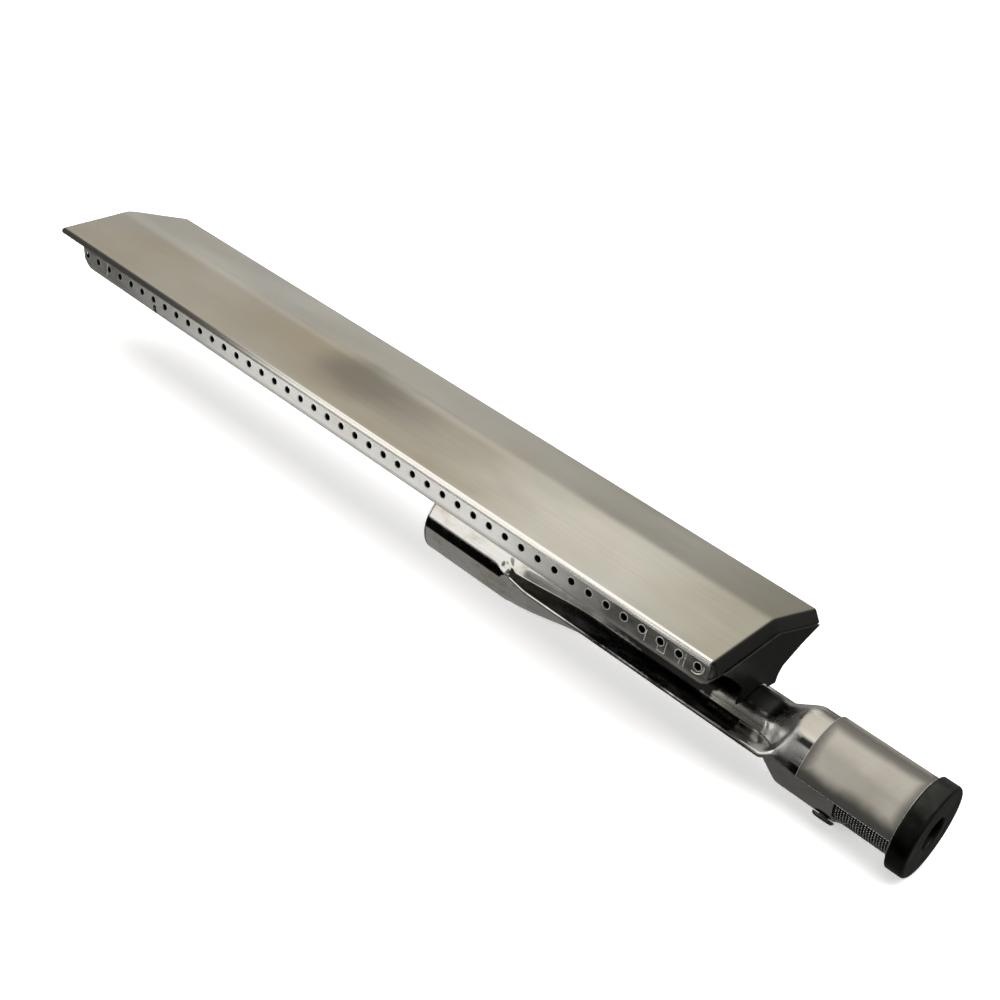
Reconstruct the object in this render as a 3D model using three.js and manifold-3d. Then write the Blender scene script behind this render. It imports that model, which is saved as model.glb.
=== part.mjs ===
// A stainless tube burner for a gas grill: a ported trough crimped under a folded roof, fed by a
// mixer tube whose middle is pinched into a venturi, with a clip-on air shutter at its inlet.
import * as THREE from "three";
import { mergeVertices } from "three/addons/utils/BufferGeometryUtils.js";
import Module from "manifold-3d";

const wasm = await Module();
wasm.setup();

// Driving dimensions, in mm. The origin is the centre of the inlet cap's outer face. +X points out
// of the inlet, +Z is up, and the mixer tube's axis at the inlet lies on X.
const SHEET = 0.8; // thickness of the pressed sheet
const GAP = 0.3; // clearance between pieces that touch

const ROOF_INLET_X = -79;
const ROOF_LENGTH = 364.5;
const ROOF_FAR_X = ROOF_INLET_X - ROOF_LENGTH;
const RIDGE_Z = 34.9;
const EAVE_Y = 35.4; // outermost edge of the hem
const ROOF_SLOPE = 0.1765; // fall per mm of width
const HEM_GAP = 0.2; // between the hem and the flange that it grips
const HEM_R = (3 * SHEET + 2 * HEM_GAP) / 2; // outside radius of the folded eave
const HEM_RETURN = 1.3; // straight part of the fold under the eave
const LIP_REACH = 3.6; // how far the inlet end's lip stands out past the bend
const LIP_FALL = 1.25; // fall of the lip per mm of reach

const PORT_COUNT = 44; // in each wall
const PORT_PITCH = 8;
const PORT_R = 1.5;
const LAST_PORT_X = -84.7;
const PORT_Z = 22.3;
const CARRYOVER_PORT = 6; // the port, counted from the far end, that has a lighting slot below it
const CARRYOVER_SHIFT = 1; // from the port's centre toward the inlet
const CARRYOVER_W = 2.2;
const CARRYOVER_Z = [15.9, 19.3];

const TROUGH_INLET_X = -80;
const TROUGH_FAR_X = -432;
const WALL_TOP_Y = 31.9; // outer face of the ported wall, under the hem
const WALL_FOOT_Y = 30.3; // outer face of the ported wall, where it meets the bottom radius
const TROUGH_Z = 15.4; // outer face of the trough's bottom
const TROUGH_BEND_R = 3;
const END_CUP_DEPTH = 18;

const PLATE_X = [-74.9, -74.1]; // the inlet end plate, just outside the roof's lip
const PLATE_EAVE = [34.2, 24.4]; // the plate's upper corner, as Y and Z
const PLATE_PEAK_Z = 30.9;
const PLATE_WAIST = [13, 15.5]; // where its slanted sides turn down into the tongue
const PLATE_FOOT = [13, 7]; // the tongue's lower corner, beside the tube's neck
const PLATE_SHELF = [16, 13]; // length and half width of the foot under the trough

const TUBE_R = 15.5;
const TUBE_WALL = 0.9;
const TUBE_INLET_X = -2;
const TUBE_END_X = -219.5;
const THROAT_R = 10;
const SHOULDER_X = [-65, -51]; // from the throat up to the mixer bell
const DIFFUSER_X = [-180, -138]; // from the outlet chamber down to the throat
const CHAMBER_DROP = 2.6; // how far the outlet chamber's axis hangs below the inlet's
const FIN_X = [-180, -61]; // the seam fins left by the pinch
const FIN_REACH = 20.4; // from the tube's axis to the fin's edge
const FIN_HALF = 0.95; // half the fin's thickness: two walls pressed together
const FIN_RISE_FAR = 27; // run over which the fin grows at its far end
const FIN_RISE_INLET = 5;

const RISER_X = -202; // centre of the gas way from the tube up into the trough
const RISER_LENGTH = 24;
const RISER_WIDTH = 14;
const RISER_CORNER_R = 4;
const RISER_LOW_Z = 9.5;
const RISER_FLANGE = 3; // how far its flange reaches round the duct, inside the trough

const SPREADER_HALF = [[20.5, 0], [17.5, 0], [16, 3.1]]; // Y and height over its seat
const SPREADER_END = 26; // from the trough's end to the spreader's end
const SPREADER_SLOT = { length: 20, width: 4, pitch: 32 };

const CAP_R = 17.8;
const CAP_DEPTH = 7;
const CAP_FACE = 1.6;
const ORIFICE_HOLE_R = 6.35;
const CAP_ROUND = 1.2; // the rolled edge of the cap's face
const CAP_HOLE_ROUND = 0.6;

const PLUG_SKIRT = 6; // how far the chamber's plug goes into the tube

const SHUTTER_X = [-44.5, -7.4];
const SHUTTER_R = 15.75; // inside radius
const SHUTTER_SHEET = 0.6;
const SHUTTER_ARC = [-5, 185]; // degrees about X, from +Y toward +Z

const WINDOW_X = [-29, -8];
const WINDOW_ARCS = [[180, 258], [282, 360]]; // degrees about X
const SCREEN_X = [-43.5, -4];
const SCREEN_R = 14.3;
const SCREEN_SHEET = 0.5;

const SCREW_X = -32.5;
const SCREW_ANGLE = -122; // degrees about X
const SCREW_HEAD_R = 4.2;
const SCREW_HEAD_H = 1.3;
const SCREW_R = 1.7;
const SCREW_LENGTH = 4.6;
const NUT_R = 3.4; // to its corners
const NUT_H = 2.2;

const FINISH = {
  brushed: { color: 0xb4ada0, roughness: 0.42 },
  bright: { color: 0xcac8c0, roughness: 0.35 },
  mirror: { color: 0xd2d0c8, roughness: 0.12 },
  satin: { color: 0xa59b8f, roughness: 0.4 },
  dark: { color: 0x3a3b36, roughness: 0.35 },
  wire: { color: 0x8a8a84, roughness: 0.3 },
};

// The closed solid of a geometry, for joining and cutting.
function solid(geometry) {
  const bare = geometry.clone();
  bare.deleteAttribute("normal");
  bare.deleteAttribute("uv");
  const merged = mergeVertices(bare, 1e-4);
  return new wasm.Manifold(
    new wasm.Mesh({
      numProp: 3,
      vertProperties: merged.attributes.position.array,
      triVerts: new Uint32Array(merged.index.array),
    }),
  );
}

function geometryOf(manifold) {
  const mesh = manifold.getMesh();
  const geometry = new THREE.BufferGeometry();
  geometry.setAttribute("position", new THREE.BufferAttribute(mesh.vertProperties, 3));
  geometry.setIndex(new THREE.BufferAttribute(mesh.triVerts, 1));
  return geometry;
}

function join(...geometries) {
  return geometryOf(geometries.map(solid).reduce((a, b) => a.add(b)));
}

function cut(geometry, tools) {
  return geometryOf(tools.map(solid).reduce((a, b) => a.subtract(b), solid(geometry)));
}

// A section drawn in the Y-Z plane, extruded from x0 to x1.
function alongX(shape, x0, x1, curveSegments = 12) {
  const depth = x1 - x0;
  const geometry = new THREE.ExtrudeGeometry(shape, { depth, bevelEnabled: false, curveSegments });
  const turn = new THREE.Matrix4().makeBasis(
    new THREE.Vector3(0, 1, 0),
    new THREE.Vector3(0, 0, 1),
    new THREE.Vector3(1, 0, 0),
  );
  return geometry.applyMatrix4(turn).translate(x0, 0, 0);
}

// A plan drawn in the X-Y plane, extruded from z0 to z1.
function alongZ(shape, z0, z1, curveSegments = 6) {
  const depth = z1 - z0;
  const geometry = new THREE.ExtrudeGeometry(shape, { depth, bevelEnabled: false, curveSegments });
  return geometry.translate(0, 0, z0);
}

function box(x, y, z) {
  const geometry = new THREE.BoxGeometry(x[1] - x[0], y[1] - y[0], z[1] - z[0]);
  return geometry.translate((x[0] + x[1]) / 2, (y[0] + y[1]) / 2, (z[0] + z[1]) / 2);
}

// A round piece about the X axis. Its profile holds [radius, x] pairs and closes on itself, unless
// both of its ends lie on the axis.
function turned(profile, segments) {
  const points = profile.map(([r, x]) => new THREE.Vector2(r, x));
  const onAxis = profile[0][0] === 0 && profile.at(-1)[0] === 0;
  if (!onAxis) points.push(points[0].clone());
  return new THREE.LatheGeometry(points, segments).rotateZ(-Math.PI / 2);
}

function roundedPlan(length, width, radius, hole = 0) {
  const outline = (target, inset) => {
    const x = length / 2 - inset;
    const y = width / 2 - inset;
    const r = radius - inset;
    target.moveTo(x, y - r);
    target.absarc(x - r, y - r, r, 0, Math.PI / 2);
    target.absarc(r - x, y - r, r, Math.PI / 2, Math.PI);
    target.absarc(r - x, r - y, r, Math.PI, 1.5 * Math.PI);
    target.absarc(x - r, r - y, r, 1.5 * Math.PI, 2 * Math.PI);
    return target;
  };
  const shape = outline(new THREE.Shape(), 0);
  if (hole) shape.holes.push(outline(new THREE.Path(), hole));
  return shape;
}

// A ring sector about the X axis, in degrees from +Y toward +Z.
function sector(inner, outer, [from, to]) {
  const a = THREE.MathUtils.degToRad(from);
  const b = THREE.MathUtils.degToRad(to);
  const shape = new THREE.Shape();
  shape.absarc(0, 0, outer, a, b, false);
  shape.absarc(0, 0, inner, b, a, true);
  return shape;
}

function smooth(x, [from, to]) {
  return THREE.MathUtils.smoothstep(x, from, to);
}

// Height of the roof's sheet at a place across it, some way below its top face.
const SLOPE_COS = Math.cos(Math.atan(ROOF_SLOPE));
function roofZ(y, below = 0) {
  return RIDGE_Z - Math.abs(y) * ROOF_SLOPE - below / SLOPE_COS;
}

// Both halves of a section: the points of the +Y half, from the outside in, and their mirror.
function mirrored(half) {
  const other = half.map((p) => new THREE.Vector2(-p.x, p.y)).reverse();
  return half.concat(other);
}

// A closed strip of sheet between an outer and an inner outline that run the same way.
function strip(outer, inner) {
  return new THREE.Shape(outer.concat([...inner].reverse()));
}

// The roof: two slopes of sheet with hems folded under at the eaves and a lip at the inlet end.
function roofGeometry() {
  const hemY = EAVE_Y - HEM_R;
  const hemZ = roofZ(hemY, HEM_R);
  const side = (below, arcR) => {
    const points = [];
    const steps = 6;
    const returnY = hemY - HEM_RETURN;
    points.push(new THREE.Vector2(returnY, roofZ(returnY, 2 * HEM_R - below)));
    for (let i = 0; i <= steps; i++) {
      const angle = -Math.PI / 2 + (Math.PI * i) / steps;
      points.push(new THREE.Vector2(hemY + arcR * Math.cos(angle), hemZ + arcR * Math.sin(angle)));
    }
    points.push(new THREE.Vector2(0, roofZ(0, below)));
    return points;
  };
  const outer = side(0, HEM_R);
  const inner = side(SHEET, HEM_R - SHEET);
  const whole = (half) => half.concat(mirrored(half).slice(half.length + 1));
  const sheet = alongX(strip(whole(outer), whole(inner)), ROOF_FAR_X, ROOF_INLET_X);

  const lipSheet = SHEET * Math.hypot(1, LIP_FALL);
  const chevron = new THREE.Shape([
    new THREE.Vector2(hemY, roofZ(hemY)),
    new THREE.Vector2(0, RIDGE_Z),
    new THREE.Vector2(-hemY, roofZ(hemY)),
    new THREE.Vector2(-hemY, roofZ(hemY) - lipSheet),
    new THREE.Vector2(0, RIDGE_Z - lipSheet),
    new THREE.Vector2(hemY, roofZ(hemY) - lipSheet),
  ]);
  const root = SHEET / 2; // how far the lip's solid starts inside the sheet
  const inletLip = alongX(chevron, -root, LIP_REACH);
  const fallToInlet = new THREE.Matrix4().makeShear(0, -LIP_FALL, 0, 0, 0, 0);
  inletLip.applyMatrix4(fallToInlet).translate(ROOF_INLET_X, 0, 0);
  return join(sheet, inletLip);
}

// Half of the trough's section, from the top of the wall to the middle of the bottom.
function troughHalf(inset, topZ) {
  const lean = (WALL_TOP_Y - WALL_FOOT_Y) / (roofZ(WALL_TOP_Y) - TROUGH_Z);
  const bendR = TROUGH_BEND_R - inset;
  const bendY = WALL_FOOT_Y - TROUGH_BEND_R;
  const bendZ = TROUGH_Z + TROUGH_BEND_R;
  const points = [new THREE.Vector2(WALL_TOP_Y - inset - lean * (roofZ(WALL_TOP_Y) - topZ), topZ)];
  const steps = 4;
  for (let i = 0; i <= steps; i++) {
    const angle = (-Math.PI / 2) * (i / steps);
    points.push(new THREE.Vector2(bendY + bendR * Math.cos(angle), bendZ + bendR * Math.sin(angle)));
  }
  return points;
}

function portX(index) {
  return LAST_PORT_X - PORT_PITCH * (PORT_COUNT - 1 - index);
}

function portCutters(first, last) {
  const cutters = [];
  for (let i = first; i <= last; i++) {
    const length = 2 * EAVE_Y;
    const hole = new THREE.CylinderGeometry(PORT_R, PORT_R, length, 8);
    cutters.push(hole.translate(portX(i), 0, PORT_Z));
  }
  return cutters;
}

// The trough: a folded channel whose flanges lie inside the roof's hems, with a row of ports in
// each wall and an opening in its bottom for the riser.
function troughGeometry() {
  const flangeTop = SHEET + HEM_GAP;
  const flangeLow = 2 * SHEET + HEM_GAP;
  const flangeTip = EAVE_Y - HEM_R;
  const wallTop = roofZ(WALL_TOP_Y, flangeLow);
  const outer = [new THREE.Vector2(flangeTip, roofZ(flangeTip, flangeLow))];
  outer.push(...troughHalf(0, wallTop));
  const inner = [new THREE.Vector2(flangeTip, roofZ(flangeTip, flangeTop))];
  inner.push(...troughHalf(SHEET, roofZ(WALL_TOP_Y - SHEET, flangeTop)));
  const channel = alongX(strip(mirrored(outer), mirrored(inner)), TROUGH_FAR_X, TROUGH_INLET_X);

  const slotX = portX(CARRYOVER_PORT) + CARRYOVER_SHIFT;
  const slotSpan = [slotX - CARRYOVER_W / 2, slotX + CARRYOVER_W / 2];
  const slot = box(slotSpan, [-EAVE_Y, EAVE_Y], CARRYOVER_Z);
  const wayPlan = roundedPlan(RISER_LENGTH, RISER_WIDTH, RISER_CORNER_R);
  const way = alongZ(wayPlan, TROUGH_Z - 1, TROUGH_Z + 2);
  return cut(channel, [...portCutters(0, PORT_COUNT - 1), slot, way.translate(RISER_X, 0, 0)]);
}

// A pressed cup that closes one end of the trough from inside, its end wall rising to the roof.
function endCupGeometry(endX, inward, ports) {
  const inset = SHEET + GAP;
  const body = (more) => {
    const top = roofZ(0, SHEET + GAP);
    const side = troughHalf(inset + more, roofZ(WALL_TOP_Y, 2 * SHEET + 2 * GAP));
    return new THREE.Shape([new THREE.Vector2(0, top + (more ? 9 : 0)), ...side].concat(
      side.map((p) => new THREE.Vector2(-p.x, p.y)).reverse(),
    ));
  };
  const span = (from, to) => [Math.min(from, to), Math.max(from, to)];
  const block = alongX(body(0), ...span(endX, endX + inward * END_CUP_DEPTH));
  const hollow = alongX(body(SHEET), ...span(endX + inward * SHEET, endX + inward * 2 * END_CUP_DEPTH));
  return cut(block, [hollow, ...portCutters(...ports)]);
}

// The plate that covers the trough's inlet end below the roof's lip, with a tongue that straddles
// the tube's neck and a foot that lies under the trough.
function endPlateGeometry() {
  const saddleR = THROAT_R + 2 * GAP;
  const seatZ = axisZ(PLATE_X[0]);
  const saddleStart = Math.acos((PLATE_FOOT[1] - seatZ) / saddleR);
  const half = [
    new THREE.Vector2(PLATE_EAVE[0], PLATE_EAVE[1]),
    new THREE.Vector2(PLATE_WAIST[0], PLATE_WAIST[1]),
    new THREE.Vector2(PLATE_FOOT[0], PLATE_FOOT[1]),
  ];
  const steps = 5;
  for (let i = steps; i >= 1; i--) {
    const angle = (saddleStart * i) / steps;
    half.push(new THREE.Vector2(saddleR * Math.sin(angle), seatZ + saddleR * Math.cos(angle)));
  }
  const middle = new THREE.Vector2(0, seatZ + saddleR);
  const peak = new THREE.Vector2(0, PLATE_PEAK_Z);
  const other = half.map((p) => new THREE.Vector2(-p.x, p.y)).reverse();
  const plate = alongX(new THREE.Shape([peak, ...half, middle, ...other]), ...PLATE_X);
  const footZ = TROUGH_Z - GAP;
  const [shelf, halfWidth] = PLATE_SHELF;
  const foot = box([PLATE_X[1] - shelf, PLATE_X[1]], [-halfWidth, halfWidth], [footZ - SHEET, footZ]);
  return join(plate, foot);
}

// The tube's centre height, radius and fin reach at a station along it.
function axisZ(x) {
  return -CHAMBER_DROP * (1 - smooth(x, [DIFFUSER_X[0], SHOULDER_X[0]]));
}

function tubeR(x) {
  const bell = smooth(x, SHOULDER_X);
  const chamber = 1 - smooth(x, DIFFUSER_X);
  return THROAT_R + (TUBE_R - THROAT_R) * Math.max(bell, chamber);
}

function finReach(x) {
  if (x <= FIN_X[0] || x >= FIN_X[1]) return 0;
  const far = smooth(x, [FIN_X[0], FIN_X[0] + FIN_RISE_FAR]);
  const inlet = 1 - smooth(x, [FIN_X[1] - FIN_RISE_INLET, FIN_X[1]]);
  return tubeR(x) + (FIN_REACH - tubeR(x)) * Math.min(far, inlet);
}

// The mixer tube: a lathe's rings, each moved to its own centre and radius, with four points of
// each outer ring drawn out into the seam fins.
function tubeGeometry() {
  const stations = [TUBE_END_X];
  for (let x = FIN_X[0]; x < DIFFUSER_X[1]; x += 4) stations.push(x);
  for (let x = DIFFUSER_X[1]; x < SHOULDER_X[0]; x += 14) stations.push(x);
  for (let x = SHOULDER_X[0]; x <= SHOULDER_X[1]; x += 2) stations.push(x);
  stations.push(TUBE_INLET_X);

  const arcSteps = 14;
  const half = arcSteps + 3; // ring points from one fin's upper root to the next one's lower root
  const ring = 2 * half;
  const place = (x, index, inner) => {
    const r = tubeR(x) - (inner ? TUBE_WALL : 0);
    const root = Math.asin(FIN_HALF / r);
    const side = Math.floor(index / half) % 2;
    const step = index % half;
    let angle = root + ((Math.PI - 2 * root) * step) / arcSteps;
    let reach = r;
    if (step > arcSteps) {
      angle = Math.PI + (step === arcSteps + 1 ? -root : root) / 2;
      reach = inner ? r : Math.max(r, finReach(x));
      if (reach > r) angle = Math.PI + Math.sign(angle - Math.PI) * Math.asin((FIN_HALF * 0.8) / reach);
    }
    angle += side * Math.PI;
    return new THREE.Vector3(x, reach * Math.cos(angle), axisZ(x) + reach * Math.sin(angle));
  };

  const rings = stations.map((x) => [x, false]).concat([...stations].reverse().map((x) => [x, true]));
  rings.push(rings[0]);
  const lathe = new THREE.LatheGeometry(rings.map(([x]) => new THREE.Vector2(TUBE_R, x)), ring);
  const position = lathe.attributes.position;
  for (let i = 0; i < position.count; i++) {
    const [x, inner] = rings[i % rings.length];
    const index = Math.floor(i / rings.length) % ring;
    const p = place(x, index, inner);
    position.setXYZ(i, p.x, p.y, p.z);
  }

  const cutters = WINDOW_ARCS.map((arc) => alongX(sector(10, 20, arc), ...WINDOW_X));
  const wayPlan = roundedPlan(RISER_LENGTH, RISER_WIDTH, RISER_CORNER_R);
  const way = alongZ(wayPlan, 0, TUBE_R + 2);
  cutters.push(way.translate(RISER_X, 0, 0));
  cutters.push(atScrew(new THREE.CylinderGeometry(SCREW_R + GAP, SCREW_R + GAP, 8, 12)));
  return cut(lathe, cutters);
}

// Turns a piece made about the Y axis so that its +Y points out of the tube at the screw's place.
function atScrew(geometry, out = TUBE_R) {
  return geometry
    .translate(0, out, 0)
    .rotateX(THREE.MathUtils.degToRad(SCREW_ANGLE))
    .translate(SCREW_X, 0, 0);
}

function endPlugGeometry() {
  const skirtR = TUBE_R - TUBE_WALL - GAP;
  const back = TUBE_END_X - GAP;
  const plug = turned(
    [
      [0, back - SHEET],
      [TUBE_R - 0.5, back - SHEET],
      [TUBE_R, back - SHEET / 2],
      [TUBE_R, back],
      [skirtR, back],
      [skirtR, back + PLUG_SKIRT],
      [skirtR - SHEET, back + PLUG_SKIRT],
      [skirtR - SHEET, back],
      [0, back],
    ],
    40,
  );
  return plug.translate(0, 0, -CHAMBER_DROP);
}

// The short duct that carries gas from the tube's chamber up through the trough's bottom.
function riserGeometry() {
  const cornerR = RISER_CORNER_R - GAP;
  const plan = roundedPlan(RISER_LENGTH - 2 * GAP, RISER_WIDTH - 2 * GAP, cornerR, SHEET);
  const duct = alongZ(plan, RISER_LOW_Z, TROUGH_Z + 2);
  const seat = TROUGH_Z + SHEET + GAP;
  const flange = roundedPlan(
    RISER_LENGTH + 2 * RISER_FLANGE,
    RISER_WIDTH + 2 * RISER_FLANGE,
    cornerR + RISER_FLANGE,
    RISER_FLANGE + SHEET + GAP,
  );
  return join(duct, alongZ(flange, seat, seat + SHEET)).translate(RISER_X, 0, 0);
}

// The spreader over the trough's bottom: a low channel with a row of slots, left plain over the
// riser so that the gas has to turn along the trough.
function spreaderGeometry() {
  const seat = TROUGH_Z + SHEET + GAP;
  const half = SPREADER_HALF.map(([y, height]) => new THREE.Vector2(y, seat + height));
  const lift = new THREE.Vector2(0, SHEET);
  const outer = mirrored(half);
  const inner = outer.map((p) => p.clone().add(lift));
  const x = [TROUGH_FAR_X + SPREADER_END, TROUGH_INLET_X - SPREADER_END];
  const channel = alongX(strip(outer, inner), ...x);
  const slots = [];
  const { length, width, pitch } = SPREADER_SLOT;
  for (let s = x[0] + length; s < x[1] - length; s += pitch) {
    if (Math.abs(s - RISER_X) < RISER_LENGTH) continue;
    const span = [s - length / 2, s + length / 2];
    slots.push(box(span, [-width / 2, width / 2], [TROUGH_Z, RIDGE_Z]));
  }
  return cut(channel, slots);
}

function shutterGeometry() {
  return alongX(sector(SHUTTER_R, SHUTTER_R + SHUTTER_SHEET, SHUTTER_ARC), ...SHUTTER_X, 28);
}

function screenGeometry() {
  const inner = SCREEN_R - SCREEN_SHEET;
  const roll = turned(
    [
      [inner, SCREEN_X[0]],
      [SCREEN_R, SCREEN_X[0]],
      [SCREEN_R, SCREEN_X[1]],
      [inner, SCREEN_X[1]],
    ],
    40,
  );
  return cut(roll, [atScrew(new THREE.CylinderGeometry(SCREW_R + GAP, SCREW_R + GAP, 8, 12))]);
}

function capGeometry() {
  const skirtR = TUBE_R + GAP;
  return turned(
    [
      [ORIFICE_HOLE_R, -CAP_FACE],
      [skirtR, -CAP_FACE],
      [skirtR, -CAP_DEPTH],
      [CAP_R, -CAP_DEPTH],
      [CAP_R, -CAP_ROUND],
      [CAP_R - 0.3 * CAP_ROUND, -0.3 * CAP_ROUND],
      [CAP_R - CAP_ROUND, 0],
      [ORIFICE_HOLE_R + CAP_HOLE_ROUND, 0],
      [ORIFICE_HOLE_R, -CAP_HOLE_ROUND],
    ],
    40,
  );
}

function screwGeometry() {
  const headLow = GAP;
  const headHigh = headLow + SCREW_HEAD_H;
  const profile = [
    [0, -SCREW_LENGTH],
    [SCREW_R, -SCREW_LENGTH],
    [SCREW_R, headLow],
    [SCREW_HEAD_R, headLow],
    [SCREW_HEAD_R, headLow + SCREW_HEAD_H / 3],
    [SCREW_HEAD_R * 0.8, headHigh - SCREW_HEAD_H / 8],
    [SCREW_HEAD_R / 2, headHigh],
    [0, headHigh],
  ];
  const points = profile.map(([r, y]) => new THREE.Vector2(r, y));
  return atScrew(new THREE.LatheGeometry(points, 20));
}

// The nut inside the screen: its face stands clear of the screen's curve at its corners.
function nutGeometry() {
  const hex = new THREE.Shape();
  const corners = 6;
  for (let i = 0; i < corners; i++) {
    const angle = (2 * Math.PI * i) / corners;
    const move = i ? "lineTo" : "moveTo";
    hex[move](NUT_R * Math.cos(angle), NUT_R * Math.sin(angle));
  }
  hex.holes.push(new THREE.Path().absarc(0, 0, SCREW_R + GAP / 2, 0, 2 * Math.PI));
  const nut = alongZ(hex, 0, NUT_H, 12).rotateX(Math.PI / 2);
  const screenInside = SCREEN_R - SCREEN_SHEET;
  const clearOfCurve = screenInside - Math.sqrt(screenInside ** 2 - NUT_R ** 2);
  return atScrew(nut, screenInside - clearOfCurve - 2 * GAP);
}

function piece(name, geometry, finish) {
  const material = new THREE.MeshStandardMaterial({ metalness: 1, ...finish });
  const mesh = new THREE.Mesh(geometry, material);
  mesh.name = name;
  return mesh;
}

const burner = new THREE.Group();
const trough = new THREE.Group();
const mixer = new THREE.Group();
const endPorts = Math.ceil(END_CUP_DEPTH / PORT_PITCH);
trough.add(
  piece("roof_shield", roofGeometry(), FINISH.brushed),
  piece("ported_trough", troughGeometry(), FINISH.bright),
  piece("far_end_cup", endCupGeometry(TROUGH_FAR_X, 1, [0, endPorts]), FINISH.bright),
  piece(
    "inlet_end_cup",
    endCupGeometry(TROUGH_INLET_X, -1, [PORT_COUNT - 1 - endPorts, PORT_COUNT - 1]),
    FINISH.bright,
  ),
  piece("inlet_end_plate", endPlateGeometry(), FINISH.dark),
  piece("gas_spreader", spreaderGeometry(), FINISH.bright),
  piece("riser_duct", riserGeometry(), FINISH.bright),
);
mixer.add(
  piece("venturi_tube", tubeGeometry(), FINISH.mirror),
  piece("chamber_plug", endPlugGeometry(), FINISH.mirror),
  piece("air_shutter", shutterGeometry(), FINISH.satin),
  piece("air_screen", screenGeometry(), FINISH.wire),
  piece("inlet_cap", capGeometry(), FINISH.dark),
  piece("screen_screw", screwGeometry(), FINISH.dark),
  piece("screen_nut", nutGeometry(), FINISH.dark),
);
burner.add(trough, mixer);

export default burner;
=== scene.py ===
"""The looks of the gas grill tube burner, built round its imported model."""

import math

import bmesh
import bpy
import numpy as np
from mathutils import Matrix, Vector

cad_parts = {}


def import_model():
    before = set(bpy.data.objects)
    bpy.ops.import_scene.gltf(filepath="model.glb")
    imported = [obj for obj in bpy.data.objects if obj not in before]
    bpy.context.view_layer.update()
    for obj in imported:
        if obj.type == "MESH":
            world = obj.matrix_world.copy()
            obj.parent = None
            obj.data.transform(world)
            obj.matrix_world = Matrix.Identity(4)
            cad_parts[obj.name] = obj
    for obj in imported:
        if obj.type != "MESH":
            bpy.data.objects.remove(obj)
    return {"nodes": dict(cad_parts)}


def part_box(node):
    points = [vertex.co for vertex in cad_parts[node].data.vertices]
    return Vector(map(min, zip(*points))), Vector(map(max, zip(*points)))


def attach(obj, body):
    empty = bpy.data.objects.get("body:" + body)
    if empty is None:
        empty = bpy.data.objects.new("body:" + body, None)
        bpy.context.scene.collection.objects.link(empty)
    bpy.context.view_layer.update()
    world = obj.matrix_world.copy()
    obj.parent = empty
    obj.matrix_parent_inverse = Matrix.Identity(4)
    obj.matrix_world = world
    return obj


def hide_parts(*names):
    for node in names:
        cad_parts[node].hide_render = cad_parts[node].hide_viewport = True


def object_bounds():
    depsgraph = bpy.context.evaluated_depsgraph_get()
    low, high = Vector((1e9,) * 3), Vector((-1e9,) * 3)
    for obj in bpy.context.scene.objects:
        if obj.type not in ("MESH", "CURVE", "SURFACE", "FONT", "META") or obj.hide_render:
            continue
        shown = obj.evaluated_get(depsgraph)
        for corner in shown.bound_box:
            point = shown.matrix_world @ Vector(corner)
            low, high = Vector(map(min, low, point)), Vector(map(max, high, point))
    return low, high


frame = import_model()
cad_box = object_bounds()

MM = 0.001
BODY = "burner_body"

# Sizes that the frame's boxes don't give, in millimetres. The pieces are worked out in millimetres
# too, and add_mesh() turns them into metres. Materials and the studio are in metres.
SHEET = 0.8
HEM_RADIUS = 1.4
HEM_RETURN = 1.3
ROOF_SLOPE = 0.1765
LIP_REACH = 3.6
LIP_FALL = 1.25
PORTS = 44
PORT_PITCH = 8.0
PORT_RADIUS = 1.5
PORT_HEIGHT = 22.3
LAST_PORT_FROM_END = 4.7
LIGHTING_PORT = 6
WALL_TOP_HALF = 31.9
WALL_FOOT_HALF = 30.3
TROUGH_BEND = 3.0
TUBE_RADIUS = 15.5
TUBE_WALL = 0.9
THROAT_RADIUS = 10.0
CHAMBER_DROP = 2.6
FIN_HALF = 0.95
SHOULDER = (-65.0, -51.0)
DIFFUSER = (-180.0, -138.0)
FIN_SPAN = (-180.0, -61.0)
FIN_HEIGHT = -0.3
WINDOW_SPAN = (-29.0, -8.0)
WINDOW_ARCS = ((180, 258), (282, 360))
SCREW_X = -32.5
SCREW_ANGLE = math.radians(-122)


def box_mm(node):
    """The low and high corners of a node's box, in millimetres."""
    low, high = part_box(node)
    return np.array(low) / MM, np.array(high) / MM


ROOF_LOW, ROOF_HIGH = box_mm("roof_shield")
TROUGH_LOW, TROUGH_HIGH = box_mm("ported_trough")
TUBE_LOW, TUBE_HIGH = box_mm("venturi_tube")
PLATE_LOW, PLATE_HIGH = box_mm("inlet_end_plate")
SHUTTER_LOW, SHUTTER_HIGH = box_mm("air_shutter")
SCREEN_LOW, SCREEN_HIGH = box_mm("air_screen")
CAP_LOW, CAP_HIGH = box_mm("inlet_cap")
RISER_LOW, RISER_HIGH = box_mm("riser_duct")
RIDGE_Z = ROOF_HIGH[2]
EAVE_Y = ROOF_HIGH[1]
ROOF_INLET = ROOF_HIGH[0] - LIP_REACH
TROUGH_Z = TROUGH_LOW[2]
FIN_REACH = TUBE_HIGH[1]
CAP_RADIUS = CAP_HIGH[1]
PORT_X = [TROUGH_HIGH[0] - LAST_PORT_FROM_END - PORT_PITCH * k for k in reversed(range(PORTS))]
CRIMP_X = TROUGH_LOW[0] + 18


# ---------------------------------------------------------------- mesh helpers


def smoothstep(x, low, high):
    """0 up to low, 1 from high on, and a soft step between them."""
    t = np.clip((x - low) / (high - low), 0, 1)
    return t * t * (3 - 2 * t)


def grid_faces(rows, columns, wrap=False, close=False, start=0):
    """Quads of a grid of points. Wrap joins its last column to its first, close its last row."""
    faces = []
    for r in range(rows if close else rows - 1):
        low = start + r * columns
        high = start + (r + 1) % rows * columns
        for c in range(columns if wrap else columns - 1):
            d = (c + 1) % columns
            faces.append((low + c, low + d, high + d, high + c))
    return faces


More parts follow.
